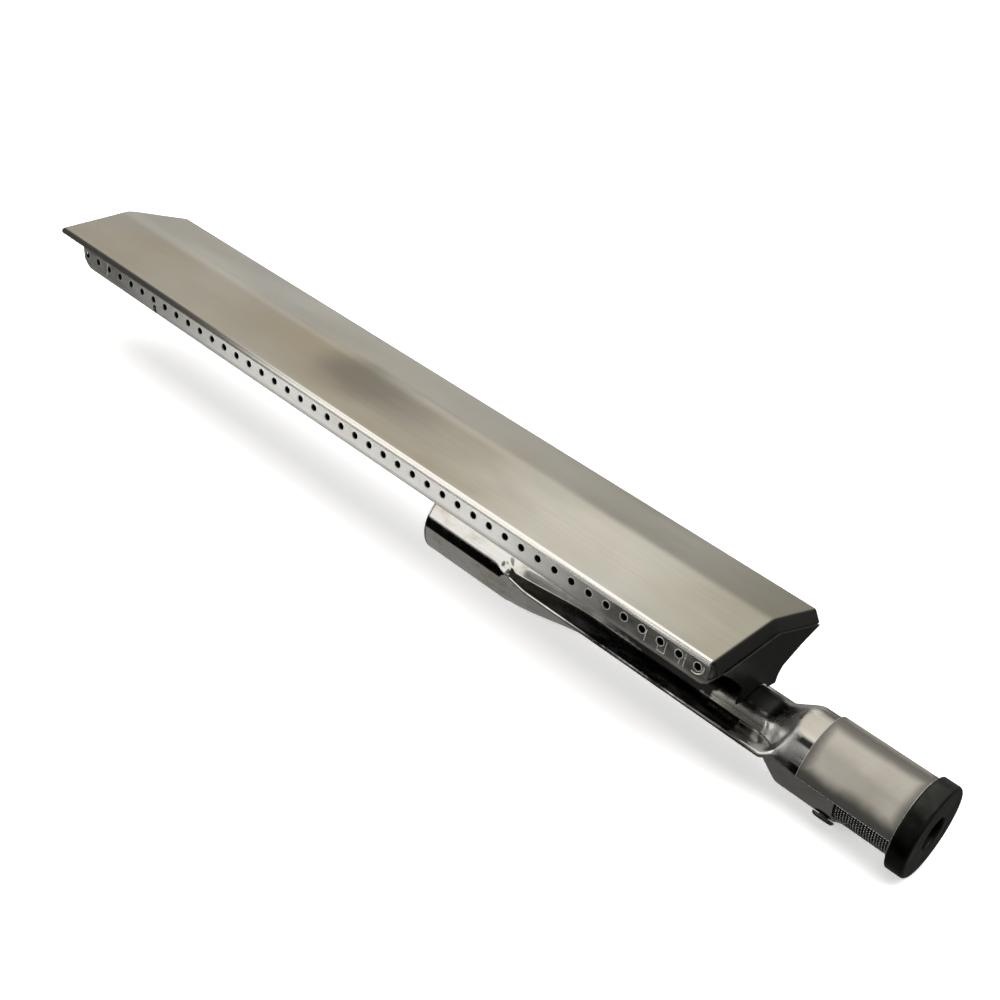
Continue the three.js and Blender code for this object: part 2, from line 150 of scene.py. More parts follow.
def lids(count, *starts):
    """One flat face for each run of count points, to close the ends of a grid."""
    return [tuple(range(start, start + count)) for start in starts]


def offset_path(path, distance):
    """A plane path moved sideways by distance, to its right."""
    path = np.asarray(path, float)
    step = np.diff(path, axis=0)
    step /= np.linalg.norm(step, axis=1)[:, None]
    side = np.stack([step[:, 1], -step[:, 0]], 1)
    before = np.vstack([side[:1], side])
    after = np.vstack([side, side[-1:]])
    mean = before + after
    mean /= np.linalg.norm(mean, axis=1)[:, None]
    stretch = 1 / np.maximum((mean * after).sum(1), 0.5)
    return path + mean * (distance * stretch)[:, None]


def arc(centre, radius, start, end, steps):
    """Points on an arc between two angles in degrees, ends included."""
    angles = np.radians(np.linspace(start, end, steps + 1))
    return [(centre[0] + radius * math.cos(a), centre[1] + radius * math.sin(a)) for a in angles]


def circle(count):
    """The cosine and sine of angles spaced evenly round one turn."""
    angles = [2 * math.pi * k / count for k in range(count)]
    return [(math.cos(a), math.sin(a)) for a in angles]


def rounded_rectangle(width, height, radius):
    """The outline of a rectangle about 0, 0 with round corners."""
    outline = []
    for sx, sy, start in ((1, 1, 0), (-1, 1, 90), (-1, -1, 180), (1, -1, 270)):
        centre = (sx * (width / 2 - radius), sy * (height / 2 - radius))
        outline += arc(centre, radius, start, start + 90, 5)
    return outline


def both_sides(half):
    """A closed outline from its half, which runs from the top's middle to the bottom's."""
    return half + [(-y, z) for y, z in reversed(half[1:-1])]


def add_object(name, data):
    """An object in the scene for a mesh, a light or a camera."""
    obj = bpy.data.objects.new(name, data)
    bpy.context.scene.collection.objects.link(obj)
    return obj


def add_mesh(name, points, faces, scale=MM):
    """A mesh object. Its points are in millimetres, unless scale says otherwise."""
    mesh = bpy.data.meshes.new(name)
    mesh.from_pydata((np.asarray(points, float) * scale).tolist(), [], faces)
    return add_object(name, mesh)


def edit(mesh, change):
    """Runs one change on a mesh in bmesh form."""
    work = bmesh.new()
    work.from_mesh(mesh)
    change(work)
    work.to_mesh(mesh)
    work.free()


def turn_outwards(work):
    """Turns the faces of each closed shell outwards, and makes those of an open sheet agree."""
    bmesh.ops.recalc_face_normals(work, faces=work.faces)


def piece(
    name, points, faces, slot, nodes=(), body=BODY, sharp=35.0, outward=True, inside=None, material=None
):
    """A mesh object that rides on a CAD body and stands for the nodes. Its points come in mm, and
    its slot gives the material unless one is named. Faces from number inside on get the near-black
    painted shade."""
    obj = add_mesh(name, points, faces)
    mesh = obj.data
    mesh.materials.append(material or METAL[slot])
    if inside is not None:
        mesh.materials.append(INSIDE_SHADE)
        for polygon in list(mesh.polygons)[inside:]:
            polygon.material_index = 1

    def clean(work):
        bmesh.ops.remove_doubles(work, verts=work.verts, dist=1e-7)
        loose = [v for v in work.verts if not v.link_faces]
        bmesh.ops.delete(work, geom=loose, context="VERTS")
        if outward:
            turn_outwards(work)
        for face in work.faces:
            face.smooth = True

    edit(mesh, clean)
    mesh.set_sharp_from_angle(angle=math.radians(sharp))
    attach(obj, body)
    if nodes:
        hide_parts(*nodes)
    return obj


def bevel(obj, width_mm, angle, edge=None):
    """Eases the sharp edges, and gives the eased faces the edge material where there is one."""
    modifier = obj.modifiers.new("edge", "BEVEL")
    if edge is not None:
        obj.data.materials.append(edge)
        modifier.material = len(obj.data.materials) - 1
    modifier.width = width_mm * MM
    modifier.segments = 2
    modifier.limit_method = "ANGLE"
    modifier.angle_limit = math.radians(angle)
    modifier.harden_normals = True


def cut(obj, corners):
    """Cuts a prism out of a piece. Its corners are the outline of one end, then of the other."""
    count = len(corners) // 2
    cutter = add_mesh("cutter", corners, grid_faces(2, count, wrap=True) + lids(count, 0, count))
    edit(cutter.data, turn_outwards)
    modifier = obj.modifiers.new("cut", "BOOLEAN")
    modifier.operation = "DIFFERENCE"
    modifier.solver = "EXACT"
    modifier.object = cutter
    bpy.context.view_layer.update()
    made = bpy.data.meshes.new_from_object(obj.evaluated_get(bpy.context.evaluated_depsgraph_get()))
    obj.modifiers.clear()
    obj.data = made
    bpy.data.objects.remove(cutter)


def lathe(profile, segments, centre_z=0.0):
    """Points and faces of a closed (radius, x) profile turned about an axis along X."""
    points = [(x, r * c, centre_z + r * s) for c, s in circle(segments) for r, x in profile]
    faces = grid_faces(segments, len(profile), wrap=True, close=True)
    on_axis = {i for i, (r, x) in enumerate(profile) if r == 0}
    return points, [f for f in faces if not {i % len(profile) for i in f} <= on_axis]


# ------------------------------------------------------------------- materials


class Tree:
    """A node tree, with short calls for the nodes that are used most."""

    def __init__(self, tree):
        self.tree = tree

    def put(self, socket, value):
        """Links a socket to another node's output, or sets its value."""
        if isinstance(value, bpy.types.NodeSocket):
            self.tree.links.new(value, socket)
        else:
            socket.default_value = value

    def add(self, kind, inputs=None):
        """A new node, with its inputs given by name or number."""
        node = self.tree.nodes.new("ShaderNode" + kind)
        for name, value in (inputs or {}).items():
            self.put(node.inputs[name], value)
        return node

    def math(self, operation, a, b=0.0, clamp=False):
        node = self.add("Math", {0: a, 1: b})
        node.operation = operation
        node.use_clamp = clamp
        return node.outputs[0]

    def times(self, a, b):
        return self.math("MULTIPLY", a, b)

    def plus(self, a, b):
        return self.math("ADD", a, b)

    def minus(self, a, b):
        return self.math("SUBTRACT", a, b)

    def larger(self, a, b):
        return self.math("MAXIMUM", a, b)

    def distance(self, a, b):
        return self.math("SQRT", self.plus(self.times(a, a), self.times(b, b)))

    def remap(self, value, low, high, to_low=0.0, to_high=1.0):
        """A soft step from one value to another as the input goes from low to high."""
        limits = {"From Min": low, "From Max": high, "To Min": to_low, "To Max": to_high}
        node = self.add("MapRange", {"Value": value, **limits})
        node.interpolation_type = "SMOOTHSTEP"
        return node.outputs[0]

    def spread(self, noise, to_low=0.0, to_high=1.0):
        """The middle stretch of a noise, widened to run from one value to another."""
        return self.remap(noise, 0.3, 0.7, to_low, to_high)

    def band(self, value, rise, fall, top=1.0):
        """A mask that rises to its top over one stretch and falls back to 0 over another."""
        return self.times(self.remap(value, *rise, 0.0, top), self.remap(value, *fall, 1.0, 0.0))

    def mix(self, factor, a, b):
        node = self.add("Mix")
        node.data_type = "RGBA"
        self.put(node.inputs[0], factor)
        self.put(node.inputs[6], a if isinstance(a, bpy.types.NodeSocket) else (*a, 1))
        self.put(node.inputs[7], b if isinstance(b, bpy.types.NodeSocket) else (*b, 1))
        return node.outputs[2]


class Nodes(Tree):
    """A new material's tree, with its shader, its patterns and its relief."""

    def __init__(self, name):
        self.material = bpy.data.materials.new(name)
        self.material.use_nodes = True
        super().__init__(self.material.node_tree)
        self.shader = self.tree.nodes["Principled BSDF"]
        self.place = self.add("TexCoord").outputs["Object"]

    def noise(self, scale, detail, roughness):
        """Noise in waves to the metre, one scale for all three axes or one for each."""
        scale = scale if isinstance(scale, tuple) else (scale, scale, scale)
        place = self.add("Mapping", {"Vector": self.place, "Scale": scale}).outputs[0]
        inputs = {"Vector": place, "Scale": 1.0, "Detail": detail, "Roughness": roughness}
        return self.add("TexNoise", inputs).outputs["Fac"]

    def axis(self, name):
        return self.add("SeparateXYZ", {0: self.place}).outputs[name]

    def bump(self, height, distance_mm, strength, under=None):
        """A fine relief, on top of another one where it is given."""
        inputs = {"Strength": strength, "Distance": distance_mm * MM, "Height": height}
        if under is not None:
            inputs["Normal"] = under
        return self.add("Bump", inputs).outputs[0]

    def glow(self, colour, strength):
        self.put(self.shader.inputs["Emission Color"], colour)
        self.put(self.shader.inputs["Emission Strength"], strength)

    def finish(self, colour, roughness, normal=None, metallic=1.0):
        self.put(self.shader.inputs["Base Color"], colour)
        self.put(self.shader.inputs["Roughness"], roughness)
        self.put(self.shader.inputs["Metallic"], metallic)
        if normal is not None:
            self.put(self.shader.inputs["Normal"], normal)
        return self.material


def roof_steel():
    """Sheet with a fine grain along its length, a straw tint, one soft smudge, hems with painted
    highlights and painted shade, and an inlet lip painted near-black as shade.
    """
    n = Nodes("roof_steel")
    grain = n.noise((60, 5200, 5200), 4.0, 0.6)
    broad_grain = n.noise((14, 900, 900), 3.0, 0.55)
    cloud = n.noise((14, 30, 30), 3.0, 0.55)
    tint = n.noise((9, 16, 16), 2.0, 0.5)
    x, y = n.axis("X"), n.axis("Y")
    base = n.mix(n.remap(cloud, 0.35, 0.68), (0.50, 0.475, 0.41), (0.57, 0.545, 0.475))
    base = n.mix(n.remap(tint, 0.44, 0.70, 0, 0.75), base, (0.45, 0.37, 0.25))
    base = n.mix(n.remap(broad_grain, 0.3, 0.75, 0.0, 0.12), base, (0.36, 0.345, 0.30))
    base = n.mix(n.remap(grain, 0.35, 0.7, 0.0, 0.10), base, (0.30, 0.29, 0.26))
    cool = n.noise((13, 45, 45), 3.0, 0.55)
    base = n.mix(n.remap(cool, 0.5, 0.72, 0.0, 0.6), base, (0.47, 0.475, 0.455))
    near_slope = n.remap(y, -0.006, 0.004, 1.0, 0.0)
    wander = n.spread(cloud, -0.012, 0.012)
    far = n.remap(n.plus(x, wander), -0.225, -0.150, 0.51, 0.0)
    base = n.mix(n.times(far, near_slope), base, (0.245, 0.215, 0.165))
    pale = n.times(far, n.minus(1.0, near_slope))
    base = n.mix(n.times(pale, 1.1), base, (0.72, 0.71, 0.66))
    inlet = n.remap(n.plus(x, wander), -0.128, -0.082, 0.0, 0.62)
    base = n.mix(inlet, base, (0.27, 0.25, 0.185))
    # The smudge is an oval drawn out toward the inlet.
    smudge_x, smudge_y = -0.276, -0.011
    from_smudge = n.minus(x, smudge_x)
    away_x = n.larger(n.times(from_smudge, 0.42), n.times(from_smudge, -0.85))
    away = n.distance(away_x, n.minus(y, smudge_y))
    away = n.plus(away, n.times(wander, 0.3))
    base = n.mix(n.remap(away, 0.002, 0.021, 0.58, 0.0), base, (0.11, 0.107, 0.096))
    hem = n.remap(n.math("ABSOLUTE", y), 0.0338, 0.0344)
    # The hems carry a painted highlight from the middle to the inlet, and painted shade toward the far
    # end.
    hem_highlight = n.times(hem, n.remap(x, -0.36, -0.28))
    base = n.mix(hem_highlight, base, (0.80, 0.78, 0.73))
    hem_shade = n.times(hem, n.remap(x, -0.39, -0.25, 0.93, 0.0))
    base = n.mix(hem_shade, base, (0.07, 0.069, 0.06))
    # The lower half of each hem is painted pale as a highlight.
    hem_z = RIDGE_Z - EAVE_Y * ROOF_SLOPE - HEM_RADIUS
    hem_low, hem_middle = ((hem_z - share * HEM_RADIUS) * MM for share in (0.75, 0.5))
    below = n.remap(n.axis("Z"), hem_low, hem_middle, 0.9, 0.0)
    base = n.mix(n.times(hem, below), base, (0.76, 0.75, 0.71))
    # From the inlet lip's bend on, the sheet is painted near-black as shade.
    base = n.mix(n.remap(x, -0.0795, -0.0784), base, (0.022, 0.022, 0.020))
    rough = n.plus(n.spread(broad_grain, 0.35, 0.43), n.spread(cloud, 0, 0.05))
    rough = n.minus(rough, n.times(hem, 0.22))
    normal = n.bump(grain, 0.010, 0.45, n.bump(broad_grain, 0.02, 0.22))
    return n.finish(base, rough, normal, 0.85)


def trough_steel():
    """Smooth rolled sheet with painted highlights round the ports, dark at both ends, and painted shade
    on its bend and underside.
    """
    n = Nodes("trough_steel")
    grain = n.noise((90, 2600, 2600), 3.0, 0.6)
    speck = n.noise(900, 2.0, 0.6)
    cloud = n.noise((22, 40, 40), 3.0, 0.5)
    mottle = n.noise((90, 160, 160), 4.0, 0.6)
    base = n.mix(n.remap(cloud, 0.35, 0.7), (0.72, 0.71, 0.67), (0.82, 0.81, 0.78))
    base = n.mix(n.remap(grain, 0.35, 0.7, 0.0, 0.15), base, (0.50, 0.49, 0.46))
    x, z = n.axis("X"), n.axis("Z")
    far_end = n.remap(x, -0.415, -0.30, 0.9, 0.0)
    near_end = n.remap(x, -0.185, -0.115, 0.0, 0.96)
    ends = n.plus(far_end, near_end)
    ends = n.math("MULTIPLY", ends, n.remap(mottle, 0.25, 0.75, 1.05, 0.9), clamp=True)
    base = n.mix(ends, base, (0.050, 0.049, 0.042))
    # The lower bend is painted darker and the underside near-black, as painted shade.
    bend = n.remap(z, 0.0172, 0.0190, 0.42, 0.0)
    base = n.mix(bend, base, (0.27, 0.26, 0.235))
    underside_shade = n.remap(z, 0.0156, 0.0172, 0.9, 0.0)
    base = n.mix(underside_shade, base, (0.05, 0.05, 0.046))
    # Each port's ring is a painted highlight, fainter toward the far end.
    rims = n.times(port_rim_highlights(n), n.remap(x, -0.16, -0.11, 0.35, 1.0))
    base = n.mix(rims, base, (0.72, 0.71, 0.68))
    rough = n.plus(n.spread(speck, 0.34, 0.42), n.spread(cloud, 0, 0.05))
    normal = n.bump(speck, 0.006, 0.4, n.bump(grain, 0.01, 0.35))
    return n.finish(base, rough, normal, 0.65)


def port_rim_highlights(n):
    """A mask of the painted highlight ring round each port, from the ports' even spacing."""
    pitch = PORT_PITCH * MM
    along = n.minus(n.axis("X"), PORT_X[0] * MM - pitch / 2)
    along = n.minus(n.math("MODULO", along, pitch), pitch / 2)
    up = n.minus(n.axis("Z"), PORT_HEIGHT * MM)
    low, high = (PORT_RADIUS + 0.18) * MM, (PORT_RADIUS + 0.4) * MM
    return n.remap(n.distance(along, up), low, high, 0.75, 0.0)


def inside_shade():
    """Near-black painted shade for the inside of the gas channel."""
    n = Nodes("inside_shade")
    cloud = n.noise(80, 3.0, 0.6)
    base = n.mix(n.spread(cloud), (0.008, 0.008, 0.007), (0.02, 0.019, 0.017))
    return n.finish(base, n.spread(cloud, 0.6, 0.8), n.bump(cloud, 0.03, 0.3), 0.3)


def edge_highlight():
    """A painted highlight: bright metal colour on eased edges and raised lines."""
    n = Nodes("edge_highlight")
    cloud = n.noise(300, 3.0, 0.6)
    base = n.mix(n.spread(cloud), (0.66, 0.65, 0.62), (0.84, 0.83, 0.80))
    return n.finish(base, n.spread(cloud, 0.22, 0.34), n.bump(cloud, 0.01, 0.3), 0.8)


def polished_tube():
    """Bright drawn tube: nearly a mirror, with die lines and straw stains, and painted shade on the
    neck's top and in the fin's pocket.
    """
    n = Nodes("polished_tube")
    die = n.noise((25, 2400, 2400), 3.0, 0.6)
    wave = n.noise((38, 70, 70), 2.0, 0.5)
    peel = n.noise(420, 3.0, 0.6)
    stain = n.noise((60, 110, 110), 4.0, 0.65)
    dirt = n.noise((240, 420, 420), 5.0, 0.7)
    base = n.mix(n.remap(stain, 0.50, 0.74, 0.0, 0.6), (0.82, 0.81, 0.785), (0.58, 0.53, 0.43))
    base = n.mix(n.remap(die, 0.4, 0.75, 0.0, 0.15), base, (0.45, 0.44, 0.42))
    base = n.mix(n.remap(dirt, 0.62, 0.72, 0.0, 0.55), base, (0.20, 0.18, 0.14))
    ragged = n.spread(stain, -0.004, 0.004)
    x, z = n.plus(n.axis("X"), ragged), n.axis("Z")
    heat = n.times(n.remap(x, -0.176, -0.150, 1.0, 0.25), n.remap(stain, 0.40, 0.62, 0.0, 0.4))
    base = n.mix(heat, base, (0.50, 0.435, 0.32))
    collar = n.times(n.remap(x, -0.056, -0.050, 0.0, 0.75), n.remap(z, 0.008, 0.013))
    base = n.mix(collar, base, (0.36, 0.33, 0.27))
    # Painted black shade lies on the tube's top under the trough, with a ragged lower edge.
    height = n.plus(z, n.times(ragged, 0.35))
    height = n.plus(height, n.remap(x, -0.088, -0.080, 0.006, 0.0))
    upper = n.remap(height, 0.0045, 0.0075)
    shade_span = n.band(x, (-0.160, -0.125), (-0.0635, -0.0595))
    under_trough_shade = n.times(shade_span, upper)
    # Painted shade darkens the pocket where the fin meets the bell.
    pocket_shade = n.band(x, (-0.080, -0.070), (-0.062, -0.057), 0.65)
    pocket_shade = n.times(pocket_shade, n.band(z, (-0.004, -0.001), (0.002, 0.006)))
    base = n.mix(pocket_shade, base, (0.10, 0.095, 0.08))
    base = n.mix(n.times(under_trough_shade, 0.97), base, (0.010, 0.010, 0.009))
    rough = n.plus(n.remap(peel, 0.35, 0.75, 0.08, 0.14), n.remap(stain, 0.55, 0.8, 0, 0.12))
    scuff = n.band(x, (-0.063, -0.058), (-0.054, -0.048), 0.24)
    rough = n.plus(rough, n.plus(n.times(under_trough_shade, 0.2), scuff))
    normal = n.bump(peel, 0.012, 0.3, n.bump(wave, 0.3, 0.25, n.bump(die, 0.006, 0.3)))
    return n.finish(base, rough, normal)


def shutter_steel():
    """Satin sleeve, warmer than the tube, with painted shade along its four edges."""
    n = Nodes("shutter_steel")
    rub = n.noise((1900, 130, 130), 3.0, 0.6)
    long_rub = n.noise((40, 1500, 1500), 3.0, 0.6)
    cloud = n.noise(60, 3.0, 0.55)
    base = n.mix(n.remap(cloud, 0.3, 0.72), (0.29, 0.268, 0.232), (0.355, 0.334, 0.298))
    base = n.mix(n.remap(long_rub, 0.4, 0.75, 0.0, 0.2), base, (0.26, 0.24, 0.205))
    angle = n.math("ARCTAN2", n.axis("Z"), n.math("ABSOLUTE", n.axis("Y")))
    wander = n.spread(cloud, -0.05, 0.05)
    angle = n.plus(angle, wander)
    # The top, the low side and both ends of the sleeve are painted dark as shade.
    crown_shade = n.remap(angle, 1.20, 1.50, 0.0, 0.72)
    low_side_shade = n.remap(angle, 0.04, 0.40, 0.95, 0.0)
    along = n.plus(n.axis("X"), n.times(wander, 0.008))
    ends = [n.remap(along, (SHUTTER_LOW[0] + 0.5) * MM, (SHUTTER_LOW[0] + 5) * MM, 0.75, 0.0)]
    ends.append(n.remap(along, (SHUTTER_HIGH[0] - 4) * MM, (SHUTTER_HIGH[0] - 0.5) * MM, 0.0, 0.7))
    margin_shade = n.larger(n.larger(crown_shade, low_side_shade), n.larger(*ends))
    base = n.mix(margin_shade, base, (0.05, 0.049, 0.043))
    rough = n.plus(n.spread(rub, 0.38, 0.46), n.spread(cloud, 0, 0.05))
    normal = n.bump(long_rub, 0.01, 0.35, n.bump(rub, 0.006, 0.3))
    return n.finish(base, rough, normal, 0.55)


def cap_steel():
    """Steel painted near-black as shade, smooth and faintly mottled."""
    n = Nodes("cap_steel")
    mottle = n.noise(160, 4.0, 0.6)
    grain = n.noise(900, 2.0, 0.5)
    base = n.mix(n.remap(mottle, 0.3, 0.72), (0.022, 0.023, 0.020), (0.045, 0.046, 0.040))
    rough = n.spread(mottle, 0.30, 0.42)
    normal = n.bump(grain, 0.008, 0.4)
    return n.finish(base, rough, normal)


def screen_wire():
    """Wire with a painted highlight on the crests of its weave and painted shade in the hollows."""
    n = Nodes("screen_wire")
    tarnish = n.noise(260, 3.0, 0.6)
    bright = n.mix(n.remap(tarnish, 0.35, 0.7), (0.70, 0.69, 0.66), (0.92, 0.91, 0.88))
    out = n.distance(n.axis("Y"), n.axis("Z"))
    crest_highlight = n.remap(out, (SCREEN_HIGH[1] - 0.08) * MM, (SCREEN_HIGH[1] + 0.06) * MM)
    # Painted highlight on the crests, painted shade in the hollows.
    base = n.mix(crest_highlight, (0.010, 0.010, 0.009), bright)
    return n.finish(base, n.spread(tarnish, 0.25, 0.4), n.bump(tarnish, 0.01, 0.3), 0.35)


def fastener():
    """Plain steel with some rust, and edges rubbed brighter."""
    n = Nodes("fastener")
    rust = n.noise(500, 4.0, 0.65)
    base = n.mix(n.remap(rust, 0.5, 0.75), (0.20, 0.20, 0.185), (0.12, 0.10, 0.08))
    rough = n.remap(rust, 0.3, 0.75, 0.32, 0.5)
    rubbed = n.remap(n.add("NewGeometry").outputs["Pointiness"], 0.5, 0.7)
    base = n.mix(rubbed, base, (0.5, 0.49, 0.46))
    return n.finish(base, rough, n.bump(rust, 0.01, 0.4))


INSIDE_SHADE = inside_shade()
EDGE_HIGHLIGHT = edge_highlight()
METAL = {
    "roof_steel": roof_steel(),
    "trough_steel": trough_steel(),
    "polished_tube": polished_tube(),
    "shutter_steel": shutter_steel(),
    "cap_steel": cap_steel(),
    "screen_wire": screen_wire(),
    "fastener": fastener(),
}


# ------------------------------------------------------------- roof and trough


def roof_z(y, below=0.0):
    """Height across the roof, some way below its top face, with the ridge slightly rounded."""
    soft = 1.2
    from_ridge = math.hypot(y, soft) - soft
    return RIDGE_Z - from_ridge * ROOF_SLOPE - below * math.hypot(1, ROOF_SLOPE)


def roof():
    """Two slopes with folded hems, and at the inlet end a lip that turns down."""
    hem_y = EAVE_Y - HEM_RADIUS
    tilt = math.atan(ROOF_SLOPE)
    top = 90 - math.degrees(tilt)
    fold = arc((hem_y, roof_z(hem_y, HEM_RADIUS)), HEM_RADIUS, top - 180, top, 14)
    back = (fold[0][0] - HEM_RETURN * math.cos(tilt), fold[0][1] + HEM_RETURN * math.sin(tilt))
    half = [back] + fold + [(y, roof_z(y)) for y in np.linspace(hem_y, 0, 18)[1:]]
    outer = np.array(half + [(-y, z) for y, z in reversed(half[:-1])])
    inner = offset_path(outer, -SHEET)
    count = len(outer)
    # The lip is a flap of the slopes only, between the hems.
    first = len(fold)
    last = count - 1 - first
    flat = np.linspace(ROOF_LOW[0], ROOF_INLET, 74)
    bend_radius = 1.1
    bend = np.linspace(0, math.atan(LIP_FALL), 7)[1:]
    lip = [(ROOF_INLET + bend_radius * math.sin(a), bend_radius * (1 - math.cos(a))) for a in bend]
    lip += [(ROOF_HIGH[0], lip[-1][1] + (ROOF_HIGH[0] - lip[-1][0]) * LIP_FALL)]
    stations = [(x, 0.0) for x in flat] + lip
    # The slopes are faintly wavy along their length, and the lip's inner face is tucked back.
    points = []
    for x, fall in stations:
        wave = 0.035 * math.sin(x / 17.0) + 0.025 * math.sin(x / 7.3 + 1.0)
        tuck = 0.0 if fall == 0 else 0.35
        for path, shift in ((outer, 0.0), (inner, tuck)):
            for y, z in path:
                middle = math.exp(-(((abs(y) - 17) / 9) ** 2))
                points.append((x - shift, y, z - fall - shift * 0.6 + wave * middle))
    faces = []
    width = 2 * count
    for r in range(len(stations) - 1):
        base = r * width
        low, high = (0, count - 1) if r < len(flat) - 1 else (first, last)
        pairs = [(c + side, c + side + 1) for side in (0, count) for c in range(low, high)]
        pairs += [(low, low + count), (high, high + count)]
        faces += [(base + a, base + b, base + b + width, base + a + width) for a, b in pairs]
    ends = [(0, 0, count - 1), (len(flat) - 1, 0, first), (len(flat) - 1, last, count - 1)]
    ends += [(len(stations) - 1, first, last)]
    for r, low, high in ends:
        row = range(r * width + low, r * width + high)
        faces += [(a, a + 1, a + 1 + count, a + count) for a in row]
    obj = piece("roof_sheet", points, faces, "roof_steel", ["roof_shield"])
    bevel(obj, 0.16, 55)


def wall_y(z):
    """How far out a trough wall stands at some height: it leans out toward its top."""
    top_z = roof_z(WALL_TOP_HALF)
    lean = (WALL_TOP_HALF - WALL_FOOT_HALF) / (top_z - TROUGH_Z)
    return WALL_TOP_HALF - lean * (top_z - z)


def raise_corners(points):
    """Rounds the channel's two lower end corners by raising what lies near the ends."""
    far_radius, inlet_radius, reach = 5.5, 3.5, 9.0
    raised = []
    for x, y, z in points:
        share = max(0.0, 1 - (z - TROUGH_Z) / reach)
        lift = 0.0
        for away, radius in ((x - TROUGH_LOW[0], far_radius), (TROUGH_HIGH[0] - x, inlet_radius)):
            if away < radius:
                lift += radius - math.sqrt(radius**2 - (radius - max(away, 0.0)) ** 2)
        raised.append((x, y, z + lift * share))
    return raised


def trough():
    """A folded channel. Each wall is a row of square cells with a rimmed round port in each."""
    half_cell = PORT_PITCH / 2
    spokes = circle(24)
    reach = [half_cell / max(abs(c), abs(s)) for c, s in spokes]
    edge = sorted({round(r * c, 4) for (c, s), r in zip(spokes, reach)})
    xs = sorted({round(x + e, 4) for x in PORT_X for e in edge})
    xs = [max(x, TROUGH_LOW[0]) for x in xs] + [TROUGH_HIGH[0]]
    cell_low = PORT_HEIGHT - half_cell
    cell_high = PORT_HEIGHT + half_cell
    # The wall's top runs up under the roof and out into its hem.
    under = SHEET + 0.3
    top_z = roof_z(WALL_TOP_HALF, under)
    above = [(y, roof_z(y, under)) for y in (EAVE_Y - HEM_RADIUS, 33.0)]
    above += [(wall_y(top_z) + 0.35, top_z - 0.1), (wall_y(top_z - 0.8), top_z - 0.8)]
    above += [(wall_y(cell_high), cell_high)]
    bend = (WALL_FOOT_HALF - TROUGH_BEND, TROUGH_Z + TROUGH_BEND)
    below = [(wall_y(cell_low), cell_low)] + arc(bend, TROUGH_BEND, -5, -90, 8)
    below += [(y, TROUGH_Z) for y in np.linspace(bend[0], 0, 8)[1:]]
    blank = [(wall_y(PORT_HEIGHT + e), PORT_HEIGHT + e) for e in edge]
    rims = [(PORT_RADIUS, -0.35), (PORT_RADIUS, 0.02), (PORT_RADIUS + 0.07, 0.13)]
    rims += [(PORT_RADIUS + 0.18, 0.13), (PORT_RADIUS + 0.32, 0.02), (PORT_RADIUS + 0.6, 0.0)]
    points = []
    faces = []
    for sign in (1, -1):
        for section, along in ((above, xs), (below, xs), (blank, xs[-2:])):
            faces += grid_faces(len(along), len(section), start=len(points))
            points += [(x, sign * y, z) for x in along for y, z in section]
        for x in PORT_X:
            faces += grid_faces(len(rims) + 1, len(spokes), wrap=True, start=len(points))
            for radius, out in rims + [(None, 0.0)]:
                for (c, s), corner in zip(spokes, reach):
                    away = radius or corner
                    z = PORT_HEIGHT + away * s
                    points.append((max(x + away * c, TROUGH_LOW[0]), sign * (wall_y(z) + out), z))
    points = raise_corners(points)
    node = "ported_trough"
    obj = piece("trough_channel", points, faces, "trough_steel", [node], sharp=50, outward=False)
    edit(obj.data, face_from_ports)
    solid = obj.modifiers.new("sheet", "SOLIDIFY")
    solid.thickness = SHEET * MM
    solid.offset = -1
    solid.use_even_offset = False
    # The sheet's inside and rims get the near-black painted shade.
    obj.data.materials.append(INSIDE_SHADE)
    solid.material_offset = 1
    solid.material_offset_rim = 1
    slot_low, slot_high = TROUGH_Z + 0.3, PORT_HEIGHT - PORT_RADIUS - 0.7
    slot_x, slot_z = PORT_X[LIGHTING_PORT] + 1.0, (slot_low + slot_high) / 2
    plan = rounded_rectangle(2.2, slot_high - slot_low, 0.9)
    # The cross-lighting slot goes through each wall below one of the ports.
    for sign in (1, -1):
        sides = [sign * (WALL_FOOT_HALF + reach) for reach in (-4.0, 4.0)]
        cut(obj, [(slot_x + u, y, slot_z + v) for y in sides for u, v in plan])


def face_from_ports(work):
    """Turns the open channel's faces away from the line through the middle of its ports."""
    turn_outwards(work)
    total = 0.0
    for face in work.faces:
        middle = face.calc_center_median()
        out = Vector((0, middle.y, middle.z - PORT_HEIGHT * MM))
        total += face.calc_area() * face.normal.dot(out)
    if total < 0:
        bmesh.ops.reverse_faces(work, faces=work.faces)


